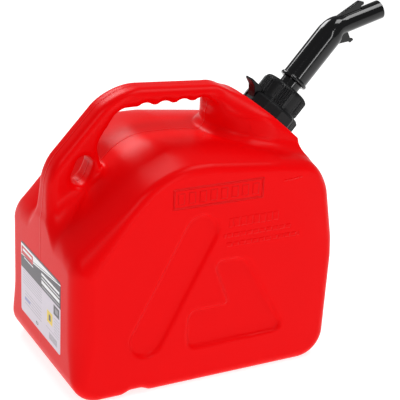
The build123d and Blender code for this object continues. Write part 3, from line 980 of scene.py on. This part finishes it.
@dataclass
class Tank:
    """The can's body with its handle, dome and threaded neck, and its label."""

    neck: NeckFrame
    step: float = 2.2
    neck_radius: float = 22.0
    neck_bore: float = 18.5
    neck_lip: float = 18.0
    thread_pitch: float = 5.0
    thread_height: float = 1.4
    thread_span: tuple[float, float] = (2.6, 14.0)
    label_corner: float = 3.0

    def build(self) -> None:
        """Builds the shell, the neck and the label."""
        red = RED_HDPE.build()
        self.build_shell(red)
        self.build_neck(red)
        self.build_label()

    def build_shell(self, paint: bpy.types.Material) -> None:
        """Builds the outside of the body, handle and dome from their field."""
        low, high = (np.array(corner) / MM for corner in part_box("tank_shell"))
        form = CanForm(-low[0], high[1], high[2] + 0.6, self.neck.seat, self.neck.tilt)
        step = self.step
        points, faces = surface_net(form, low - 4.0 * step, high + 4.0 * step, step)
        shell = put_mesh("can_shell", points, faces, Body.TANK, paint)
        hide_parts("tank_shell")
        log.info("can_shell: %d faces", len(faces))

    def build_neck(self, paint: bpy.types.Material) -> None:
        """Builds the threaded neck: a turned tube whose radius grows where the thread's ramp passes.

        The thread's height at angle a and height w is a trapezium of the distance from w to the nearest
        turn, start + pitch (a / 2 pi + n), faded out at both ends.
        """
        profile = rounded_loop([
            (self.neck_radius, -6.0, 0.0), (self.neck_radius, self.neck_lip, 0.8),
            (self.neck_bore, self.neck_lip, 0.8), (self.neck_bore, -6.0, 0.0),
        ], spacing=0.45)
        outer = profile[:, 0] > self.neck_radius - 0.01
        low, high = self.thread_span

        def ridge(angle: Array, row: Array) -> Array:
            height = profile[:, 1][row]
            phase = (height - low) / self.thread_pitch - angle / (2.0 * math.pi)
            away = np.abs(phase - np.round(phase)) * self.thread_pitch
            crest = self.thread_height * (1.0 - rise(away, 0.6, 1.2))
            return crest * rise(height, low - 1.5, low) * (1.0 - rise(height, high - 1.5, high)) * outer[row]

        neck = self.neck.turned("threaded_neck", profile, ridge, 180, Body.TANK, paint)
        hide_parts("tank_shell")
        log.info("threaded_neck")

    def build_label(self) -> None:
        """Builds the label: a thin plate with round corners on the end face."""
        low, high = (np.array(corner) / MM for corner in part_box("side_label"))
        loop = rounded_loop([
            (low[1], low[2], self.label_corner), (high[1], low[2], self.label_corner),
            (high[1], high[2], self.label_corner), (low[1], high[2], self.label_corner),
        ], spacing=400.0)
        inner = loop.mean(axis=0) + (loop - loop.mean(axis=0)) * 0.997
        rings = [np.column_stack([np.full(len(loop), x), ring]) for x, ring in
                 ((high[0], loop), (low[0] + 0.05, loop), (low[0], inner))]
        count = len(loop)
        walls = grid_faces(3, count, False, True)
        faces = [*walls[:, ::-1].tolist(), list(range(count)), list(range(3 * count - 1, 2 * count - 1, -1))]
        label = put_polygons("can_label", np.concatenate(rings), faces, PrintedFilm().build())
        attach(label, Body.TANK.value)
        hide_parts("side_label")
        log.info("can_label")


@dataclass
class Collar:
    """The ribbed screw collar, the faceted lock ring round its foot and the lock tab."""

    neck: NeckFrame
    radius: float = 26.0
    bore: float = 23.9
    foot: float = -1.4
    top: float = 36.4
    shoulder: float = 24.1
    hole: float = 12.3
    rib_height: float = 1.0
    groups: int = 6
    ribs: int = 5
    rib_spacing: float = 5.5
    ring_radius: float = 31.5
    ring_bore: float = 27.4
    ring_foot: float = -2.0
    ring_top: float = 13.0
    tab_width: float = 13.0

    def build(self) -> None:
        """Builds the collar, the ring and the tab."""
        black = BLACK_PP.build()
        self.build_collar(black)
        self.build_ring(black)
        self.build_tab(black)

    def build_collar(self, paint: bpy.types.Material) -> None:
        """Builds the collar: a turned cap with groups of fine ribs.

        A rib's height at angle a is a raised cosine of the distance to the nearest rib of the nearest
        group, and it fades in and out along the collar.
        """
        profile = rounded_loop([
            (self.bore, self.foot, 0.4), (self.radius, self.foot, 0.6), (self.radius, self.top, 5.0),
            (self.hole, self.top, 0.6), (self.hole, self.top - 3.0, 0.0),
            (self.bore - 4.8, self.top - 3.0, 0.0), (self.bore - 4.8, self.shoulder, 0.0),
            (self.bore, self.shoulder, 0.0),
        ], spacing=1.0)
        outer = (profile[:, 0] > self.radius - 5.1) & (profile[:, 1] > 0.0)
        share = 2.0 * math.pi / self.groups
        pitch = math.radians(self.rib_spacing)

        def ridge(angle: Array, row: Array) -> Array:
            height = profile[:, 1][row]
            in_group = (angle + share / 2.0) % share - share / 2.0
            half = (self.ribs - 1) / 2.0
            nearest = np.clip(np.round(in_group / pitch), -half, half) * pitch
            away = np.abs(in_group - nearest) * self.radius
            rib = self.rib_height * (1.0 - rise(away, 0.3, 0.95))
            along = rise(height, 14.0, 15.2) * (1.0 - rise(height, 33.0, 35.5))
            panel = 0.5 * (1.0 - rise(np.abs(in_group) * self.radius, 8.0, 9.0)) - 0.5
            return (rib * along + panel * along) * outer[row]

        collar = self.neck.turned("ribbed_collar", profile, ridge, 720, Body.COLLAR, paint)
        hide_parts("screw_collar")
        log.info("ribbed_collar")

    def build_ring(self, paint: bpy.types.Material) -> None:
        """Builds the lock ring: a twelve-sided band, grooved on the side away from the handle.

        The band's radius at angle a is that of a flat-sided figure, its apothem over the cosine of the
        angle from the nearest side's middle. Its two ends stop at the lock tab's window.
        """
        loop = rounded_loop([
            (self.ring_bore, self.ring_foot, 0.0), (self.ring_radius, self.ring_foot, 0.6),
            (self.ring_radius, self.ring_top - 2.5, 1.6), (self.ring_bore + 1.6, self.ring_top, 0.8),
            (self.ring_bore, self.ring_top, 0.4),
        ], spacing=1.2)
        half_window = math.asin((self.tab_width / 2.0 + 0.35) / self.ring_bore)
        angle = np.linspace(math.pi + half_window, 3.0 * math.pi - half_window, 481)[:, None]
        side = math.pi / 6.0
        off_middle = (angle + side / 2.0) % side - side / 2.0
        share = np.clip((loop[:, 0] - self.ring_bore) / (self.ring_radius - self.ring_bore), 0.0, 1.0)[None, :]
        flat = 1.0 / np.cos(off_middle) - 1.0
        front = rise(np.cos(angle), 0.25, 0.45)
        tooth = np.clip(3.0 * np.cos(angle * 60.0), -1.0, 1.0) * 0.5 + 0.5
        out = loop[None, :, 0] * (1.0 + flat * share) - 0.8 * front * tooth * share
        points = np.stack([out * np.cos(angle), out * np.sin(angle),
                           np.broadcast_to(loop[None, :, 1], out.shape)], axis=-1)
        count = len(loop)
        walls = grid_faces(len(angle), count, False, True)
        last = (len(angle) - 1) * count
        faces = [*walls[:, ::-1].tolist(), list(range(count)), list(range(last + count - 1, last - 1, -1))]
        ring = put_polygons("lock_band", self.neck.to_row(points).reshape(-1, 3), faces, paint)
        ring.data.polygons.foreach_set("use_smooth", np.full(len(faces), True))
        ring.data.set_sharp_from_angle(angle=math.radians(40.0))
        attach(ring, Body.TANK.value)
        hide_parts("lock_ring")
        log.info("lock_band")

    def build_tab(self, paint: bpy.types.Material) -> None:
        """Builds the lock tab: an upright plate whose top bends back towards the handle in a horn."""
        outline = rounded_loop([
            (-27.4, -1.0, 0.0), (-27.4, 17.0, 1.0), (-33.5, 17.4, 6.0), (-45.8, 17.6, 0.5), (-45.0, 15.4, 0.6),
            (-38.0, 13.0, 4.0), (-33.0, 8.0, 3.0), (-30.6, 4.0, 1.0), (-30.6, -1.0, 0.0),
        ], spacing=3.0, arc=5)
        tab = self.neck.plate("thumb_tab", outline, self.tab_width, 0.7, Body.TAB, paint)
        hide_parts("lock_tab")
        log.info("thumb_tab")


@dataclass
class Sleeve:
    """The bent pouring sleeve with its foot bead, hook fin and small tab."""

    neck: NeckFrame
    foot: float = 44.5
    radius: float = 14.1
    bead: float = 15.9
    bead_middle: float = 46.7
    bead_half: float = 2.1
    bore: float = 12.15
    lip_bore: float = 11.35
    lip_top: float = 47.5
    bend: float = 116.8
    bend_angle: float = 32.8
    bend_round: float = 16.0
    nose_radius: float = 10.0
    nose_bore: float = 8.2
    nose_length: float = 56.8
    lip_round: float = 0.5

    def build(self) -> None:
        """Builds the sleeve's tube, fin and tab."""
        gloss = GLOSS_PP.build()
        self.build_tube(gloss)
        self.build_plates(gloss)

    def path(self, along: Array) -> tuple[Array, Array]:
        """The tube's middle line: straight up the neck, round the bend on an arc, straight out.

        Args:
            along: distance along the line from the height of the sleeve's foot.

        Returns:
            Points (u, w) and directions (u, w).
        """
        turn = math.radians(self.bend_angle)
        cut = self.bend_round * math.tan(turn / 2.0)
        first = self.bend - self.foot - cut
        arc = self.bend_round * turn
        angle = np.clip((along - first) / self.bend_round, 0.0, turn)
        beyond = np.maximum(along - first - arc, 0.0)
        before = np.minimum(along, first)
        u = self.bend_round * (1.0 - np.cos(angle)) + beyond * np.sin(angle)
        w = self.foot + before + self.bend_round * np.sin(angle) + beyond * np.cos(angle)
        return np.stack([u, w], axis=-1), np.stack([np.sin(angle), np.cos(angle)], axis=-1)

    def build_tube(self, paint: bpy.types.Material) -> None:
        """Builds the tube: a circle carried along the path, out along its wall and back down its bore."""
        turn = math.radians(self.bend_angle)
        cut = self.bend_round * math.tan(turn / 2.0)
        corner = self.bend - self.foot - cut + self.bend_round * turn / 2.0
        length = corner + self.bend_round * turn / 2.0 - cut + self.nose_length
        along = np.unique(np.concatenate([np.linspace(0.0, 6.0, 25), np.linspace(6.0, corner - 14.0, 24),
                                          np.linspace(corner - 14.0, corner + 26.0, 41),
                                          np.linspace(corner + 26.0, length - 1.0, 20),
                                          np.linspace(length - 1.0, length, 7)]))
        shrink = rise(along, corner - 12.0, corner + 14.0)
        outer = self.radius + (self.nose_radius - self.radius) * shrink
        height = self.foot + along
        bead = np.sqrt(np.clip(1.0 - ((height - self.bead_middle) / self.bead_half) ** 2, 0.0, 1.0))
        outer = outer + (self.bead - self.radius) * bead
        to_lip = np.clip((along - length + self.lip_round) / self.lip_round, 0.0, 1.0)
        outer = outer - self.lip_round * (1.0 - np.sqrt(1.0 - to_lip ** 2))
        inner = self.bore + (self.nose_bore - self.bore) * shrink
        inner = np.where(height < self.lip_top, self.lip_bore, inner)
        loop_along = np.concatenate([along, along[::-1]])
        loop_radius = np.concatenate([outer, inner[::-1]])
        centre, ahead = self.path(loop_along)
        angle = np.linspace(0.0, 2.0 * math.pi, 96, endpoint=False)[None, :]
        across = np.stack([ahead[:, 1], -ahead[:, 0]], axis=-1)
        spread = loop_radius[:, None]
        points = np.stack([
            centre[:, :1] + spread * np.cos(angle) * across[:, :1],
            spread * np.sin(angle),
            centre[:, 1:] + spread * np.cos(angle) * across[:, 1:],
        ], axis=-1)
        faces = grid_faces(len(loop_along), 96, True, True)
        tube = put_mesh("spout_tube", self.neck.to_row(points).reshape(-1, 3), faces, Body.SLEEVE, paint)
        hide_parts("pour_sleeve")
        log.info("spout_tube")

    def build_plates(self, paint: bpy.types.Material) -> None:
        """Builds the hook fin above the bend and the small tab with its cross bar below it."""
        fin = rounded_loop([
            (-8.0, 104.0, 0.0), (-12.9, 108.5, 3.0), (-7.4, 125.0, 4.0), (2.6, 154.6, 1.6), (7.8, 157.6, 0.9),
            (9.8, 155.8, 0.6), (8.4, 151.6, 1.2), (10.7, 148.9, 1.0), (18.0, 151.0, 0.5), (8.0, 118.0, 0.0),
        ], spacing=4.0, arc=5)
        tab = rounded_loop([
            (6.0, 106.0, 0.0), (16.0, 106.8, 1.5), (24.6, 116.6, 1.0), (26.8, 116.4, 0.6), (28.0, 121.4, 0.6),
            (25.6, 121.8, 0.5), (24.2, 119.8, 0.6), (17.2, 122.6, 2.0), (12.0, 130.0, 0.0),
        ], spacing=4.0, arc=5)
        for name, outline, thickness in (("hook_fin", fin, 4.0), ("finger_tab", tab, 3.4)):
            plate = self.neck.plate(name, outline, thickness, 0.5, Body.SLEEVE, paint)
            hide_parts("pour_sleeve")
            log.info(name)


@dataclass
class InnerWorks:
    """The pieces kept as the frame has them: the inner tube, seals, valve and spring."""

    gloss: tuple[str, ...] = ("spout_base",)
    natural: tuple[str, ...] = ("vent_tube", "valve_seat", "valve_plug", "valve_stem", "stem_spider")
    rubber: tuple[str, ...] = ("neck_gasket", "sleeve_o_ring", "plug_o_ring")
    wire: tuple[str, ...] = ("return_spring",)

    def build(self) -> None:
        """Gives each kept piece its material."""
        for names, finish in ((self.gloss, GLOSS_PP), (self.natural, NATURAL_POM), (self.rubber, NITRILE),
                              (self.wire, DrawnWire())):
            paint = finish.build()
            for name in names:
                self.dress(frame["nodes"][name], paint)
                log.info("%s dressed", name)

    def dress(self, node: bpy.types.Object, paint: bpy.types.Material) -> None:
        """Puts the material in every slot of a kept piece."""
        if not node.material_slots:
            node.data.materials.append(paint)
        for place in node.material_slots:
            place.link = "OBJECT"
            place.material = paint


@dataclass
class Studio:
    """A pale floor, soft lights and the camera."""

    azimuth: float = -28.38
    elevation: float = 21.91
    roll: float = -2.86
    aim_height: float = 130.9
    shift: tuple[float, float] = (31.2, 30.8)
    distance: float = 1314.6
    lens: float = 113.16
    floor_reach: float = 12000.0
    floor_glow: float = 0.78
    sky_strength: float = 0.24

    def build(self) -> None:
        """Builds the floor, the lights and the camera."""
        self.build_floor()
        self.build_lights()
        self.build_camera()

    def build_floor(self) -> None:
        """Builds a wide matt floor under the can."""
        made, _, shader, _ = new_material("studio_floor_paper")
        shader.inputs["Base Color"].default_value = linear("#C8C8C8")
        shader.inputs["Roughness"].default_value = 0.9
        shader.inputs["Specular IOR Level"].default_value = 0.1
        shader.inputs["Emission Color"].default_value = linear("#FFFFFF")
        shader.inputs["Emission Strength"].default_value = self.floor_glow
        corners = self.floor_reach * np.array([(-1, -1, 0), (1, -1, 0), (1, 1, 0), (-1, 1, 0)])
        put_polygons("studio_floor", corners, [(0, 1, 2, 3)], made)

    def build_lights(self) -> None:
        """Builds an even white sky, three soft square lights and a narrow upright one in front."""
        world = bpy.data.worlds.new("studio_sky")
        bpy.context.scene.world = world
        world.use_nodes = True
        sky = world.node_tree.nodes["Background"]
        sky.inputs["Color"].default_value = (1.0, 1.0, 1.0, 1.0)
        sky.inputs["Strength"].default_value = self.sky_strength
        for name, place, size, power, aim in (
            ("left_panel", (-1.2, -0.9, 1.3), (0.4, 0.4), 5.0, (0.0, 0.0, 0.15)),
            ("rear_panel", (-0.1, 1.2, 1.3), (0.7, 0.7), 15.0, (0.0, 0.0, 0.15)),
            ("over_panel", (0.55, -0.3, 1.5), (0.6, 0.6), 8.0, (0.0, 0.0, 0.15)),
            ("front_strip", (0.25, -1.7, 0.75), (0.16, 1.5), 7.0, (0.1, 0.0, 0.3)),
        ):
            self.build_panel(name, place, size, power, aim)

    def build_panel(self, name: str, place: tuple[float, float, float], size: tuple[float, float], power: float,
                    aim: tuple[float, float, float]) -> None:
        """Builds one soft light of a given width and height that faces a point."""
        light = bpy.data.lights.new(name, "AREA")
        light.shape = "RECTANGLE"
        light.size, light.size_y = size
        light.energy = power
        lamp = bpy.data.objects.new(name, light)
        back = np.array(place) - np.array(aim)
        lamp.matrix_world = self.facing(back / np.linalg.norm(back), place, 0.0)
        bpy.context.scene.collection.objects.link(lamp)

    def facing(self, back: Array, place: Sequence[float], roll: float) -> Matrix:
        """A placed turn whose +Z is back and whose +X is level before the roll about back."""
        z_axis = Vector(back)
        x_axis = Vector((0.0, 0.0, 1.0)).cross(z_axis).normalized()
        y_axis = z_axis.cross(x_axis)
        turn = Matrix((x_axis, y_axis, z_axis)).transposed().to_4x4()
        return Matrix.Translation(Vector(place)) @ turn @ Matrix.Rotation(math.radians(roll), 4, "Z")

    def build_camera(self) -> None:
        """Builds the camera: turned by azimuth, elevation and roll, then backed off along its own axis."""
        lens = bpy.data.cameras.new("camera")
        lens.lens = self.lens
        lens.sensor_width = 36.0
        camera = bpy.data.objects.new("camera", lens)
        bpy.context.scene.collection.objects.link(camera)
        bpy.context.scene.camera = camera
        azimuth, elevation = math.radians(self.azimuth), math.radians(self.elevation)
        back = (math.sin(azimuth) * math.cos(elevation), -math.cos(azimuth) * math.cos(elevation),
                math.sin(elevation))
        turned = self.facing(np.array(back), (0.0, 0.0, 0.0), -self.roll)
        offset = turned.to_3x3() @ Vector((self.shift[0], self.shift[1], self.distance)) * MM
        turned.translation = Vector((0.0, 0.0, self.aim_height * MM)) + offset
        camera.matrix_world = turned
        bpy.context.scene.view_settings.view_transform = "Standard"


def neck_frame(rise_to_joint: float = 10.0) -> NeckFrame:
    """The neck's axes from the collar's joint, moved back down the neck to its seat.

    Args:
        rise_to_joint: how far above the seat the joint's point lies.

    Returns:
        The neck's axes.
    """
    joint = next(joint for joint in frame["record"]["behaviour"]["joints"] if joint["name"] == "collar_turn")
    lean, _, upright = joint["axis"]
    seat = np.array(joint["pos_m"]) / MM - rise_to_joint * np.array(joint["axis"])
    return NeckFrame((float(seat[0]), float(seat[2])), (lean, upright))


def main() -> None:
    """Builds every sub-assembly in order."""
    logging.basicConfig(level=logging.INFO, format="%(message)s")
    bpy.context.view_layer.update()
    neck = neck_frame()
    for assembly in (Tank(neck), Collar(neck), Sleeve(neck), InnerWorks(), Studio()):
        assembly.build()
    bpy.context.view_layer.update()


if __name__ == "__main__":
    main()
